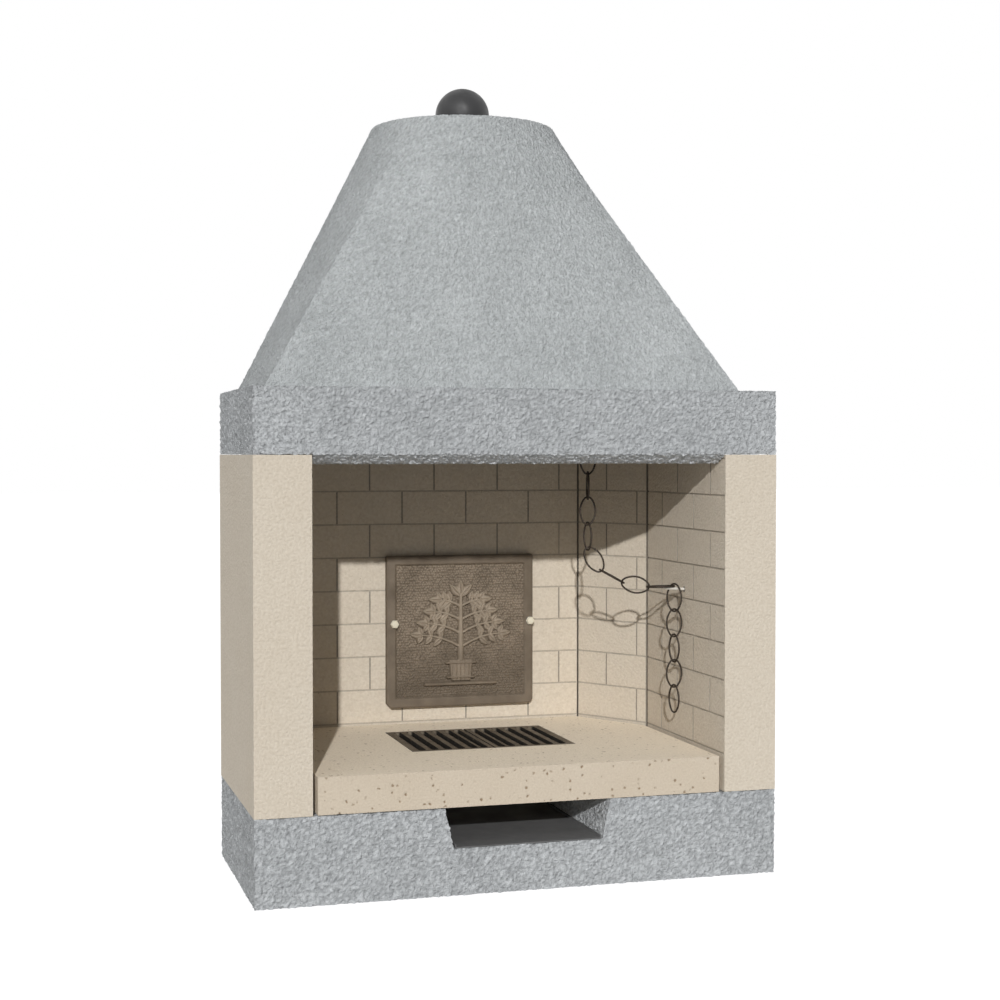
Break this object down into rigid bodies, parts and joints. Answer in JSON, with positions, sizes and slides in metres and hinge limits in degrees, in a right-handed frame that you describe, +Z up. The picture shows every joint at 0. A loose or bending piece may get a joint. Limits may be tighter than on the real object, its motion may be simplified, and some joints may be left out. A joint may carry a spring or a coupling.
{
  "type": "prefabricated fireplace",
  "caption": "Open prefabricated fireplace: plinth with ash channel, brick-patterned firebox, hearth slab, loose grate, fireback, lintel frame, tapering hood and chain-worked ball damper.",
  "frame": {"origin": "on the floor, at the middle of the footprint", "axes": "+Z up, -Y out of the open front, +X to the right as seen from the front"},
  "size_m": [1.24, 0.83, 1.9263],
  "materials": {
    "grey_concrete": "rough cast, pitted all over",
    "refractory": "smooth cast refractory with a moulded brick pattern",
    "hearth_stone": "cast, with small open pits",
    "fireback_iron": "matt brown-grey casting with a hammered field",
    "grate_iron": "matt as cast",
    "dark_iron": "matt dark grey",
    "black_sheet": "matt dark grey sheet",
    "cream_paint": "cream heat-resistant paint",
    "mild_steel": "dull dark steel",
    "bright_steel": "bright steel",
    "chain_iron": "dark brown iron wire"
  },
  "bodies": {
    "root": {"plinth": "grey_concrete", "left_wall": "refractory", "right_wall": "refractory", "left_corner": "refractory", "right_corner": "refractory", "back_wall": "refractory", "hearth_slab": "hearth_stone", "fireback": "fireback_iron", "fireback_bolt_left": "cream_paint", "fireback_bolt_right": "cream_paint", "fireback_washers": "cream_paint", "lintel_frame": "grey_concrete", "hood": "grey_concrete", "damper_seat": "dark_iron", "guide_strap": "mild_steel", "strap_screws": "mild_steel", "crossbar": "mild_steel", "shaft_bracket_inner": "mild_steel", "shaft_bracket_outer": "mild_steel", "chain_peg": "bright_steel", "peg_sleeve": "bright_steel"},
    "ash_tray": {"ash_tray": "black_sheet"},
    "grate_left": {"grate_left": "grate_iron"},
    "grate_right": {"grate_right": "grate_iron"},
    "rocker": {"rocker_shaft": "mild_steel", "lift_arm": "mild_steel", "chain_arm": "mild_steel"},
    "damper": {"damper_plate": "dark_iron", "damper_ball": "dark_iron", "lift_rod": "mild_steel"},
    "hanging_chain": {"chain_upper_1": "chain_iron", "chain_upper_2": "chain_iron", "chain_upper_3": "chain_iron", "chain_upper_4": "chain_iron", "chain_upper_5": "chain_iron", "chain_upper_6": "chain_iron", "chain_upper_7": "chain_iron", "chain_upper_8": "chain_iron"},
    "run_link_1": {"chain_run_1": "chain_iron"},
    "run_link_2": {"chain_run_2": "chain_iron"},
    "run_link_3": {"chain_run_3": "chain_iron"},
    "run_link_4": {"chain_run_4": "chain_iron"},
    "tail_link_1": {"chain_tail_1": "chain_iron"},
    "tail_link_2": {"chain_tail_2": "chain_iron"},
    "tail_link_3": {"chain_tail_3": "chain_iron"},
    "tail_link_4": {"chain_tail_4": "chain_iron"},
    "tail_link_5": {"chain_tail_5": "chain_iron"}
  },
  "joints": [
    {"name": "damper_rocker", "type": "hinge", "parent": "root", "child": "rocker", "pos_m": [0, 0.00962, 1.23435], "axis": [1, 0, 0], "range_deg": [0, 36]},
    {"name": "damper_lift", "type": "slide", "parent": "root", "child": "damper", "axis": [0, 0, 1], "range_m": [0, 0.081]},
    {"name": "hanging_chain_swivel", "type": "hinge", "parent": "rocker", "child": "hanging_chain", "pos_m": [0.2605, -0.095, 1.26835], "axis": [1, 0, 0], "range_deg": [-36.5, 0]},
    {"name": "run_link_1_turn", "type": "hinge", "parent": "root", "child": "run_link_1", "pos_m": [0.464, -0.1642, 0.6679], "axis": [0.31, 0.9507, 0], "range_deg": [-29.5, 0]},
    {"name": "run_link_2_turn", "type": "hinge", "parent": "run_link_1", "child": "run_link_2", "pos_m": [0.40162, -0.14386, 0.66561], "axis": [0.31, 0.9507, 0], "range_deg": [0, 7.5]},
    {"name": "run_link_3_turn", "type": "hinge", "parent": "run_link_2", "child": "run_link_3", "pos_m": [0.34277, -0.12467, 0.67674], "axis": [0.31, 0.9507, 0], "range_deg": [0, 12]},
    {"name": "run_link_4_turn", "type": "hinge", "parent": "run_link_3", "child": "run_link_4", "pos_m": [0.29037, -0.10758, 0.70705], "axis": [0.31, 0.9507, 0], "range_deg": [0, 8.2]},
    {"name": "tail_link_1_swing", "type": "hinge", "parent": "root", "child": "tail_link_1", "pos_m": [0.464, -0.1642, 0.67065], "axis": [1, 0, 0], "range_deg": [-12, 12]},
    {"name": "tail_link_2_swing", "type": "hinge", "parent": "tail_link_1", "child": "tail_link_2", "pos_m": [0.464, -0.1642, 0.60775], "axis": [1, 0, 0], "range_deg": [-3.2, 3.2]},
    {"name": "tail_link_3_swing", "type": "hinge", "parent": "tail_link_2", "child": "tail_link_3", "pos_m": [0.464, -0.1642, 0.54485], "axis": [1, 0, 0], "range_deg": [-3.2, 3.2]},
    {"name": "tail_link_4_swing", "type": "hinge", "parent": "tail_link_3", "child": "tail_link_4", "pos_m": [0.464, -0.1642, 0.48195], "axis": [1, 0, 0], "range_deg": [-3.2, 3.2]},
    {"name": "tail_link_5_swing", "type": "hinge", "parent": "tail_link_4", "child": "tail_link_5", "pos_m": [0.464, -0.1642, 0.41905], "axis": [1, 0, 0], "range_deg": [-3.2, 3.2]},
    {"name": "ash_tray_pull", "type": "slide", "parent": "root", "child": "ash_tray", "axis": [0, -1, 0], "range_m": [0, 0.6]},
    {"name": "grate_left_lift", "type": "slide", "parent": "root", "child": "grate_left", "axis": [0, 0, 1], "range_m": [0, 0.08]},
    {"name": "grate_right_lift", "type": "slide", "parent": "root", "child": "grate_right", "axis": [0, 0, 1], "range_m": [0, 0.08]}
  ],
  "couplings": [
    {"joint": "damper_lift", "follows": "damper_rocker", "m_per_rad": 0.12813},
    {"joint": "hanging_chain_swivel", "follows": "damper_rocker", "ratio": -1},
    {"joint": "run_link_1_turn", "follows": "damper_rocker", "ratio": -0.80291},
    {"joint": "run_link_2_turn", "follows": "damper_rocker", "ratio": 0.19708},
    {"joint": "run_link_3_turn", "follows": "damper_rocker", "ratio": 0.32853},
    {"joint": "run_link_4_turn", "follows": "damper_rocker", "ratio": 0.22078},
    {"joint": "tail_link_2_swing", "follows": "tail_link_1_swing", "ratio": 0.25},
    {"joint": "tail_link_3_swing", "follows": "tail_link_1_swing", "ratio": 0.25},
    {"joint": "tail_link_4_swing", "follows": "tail_link_1_swing", "ratio": 0.25},
    {"joint": "tail_link_5_swing", "follows": "tail_link_1_swing", "ratio": 0.25}
  ]
}
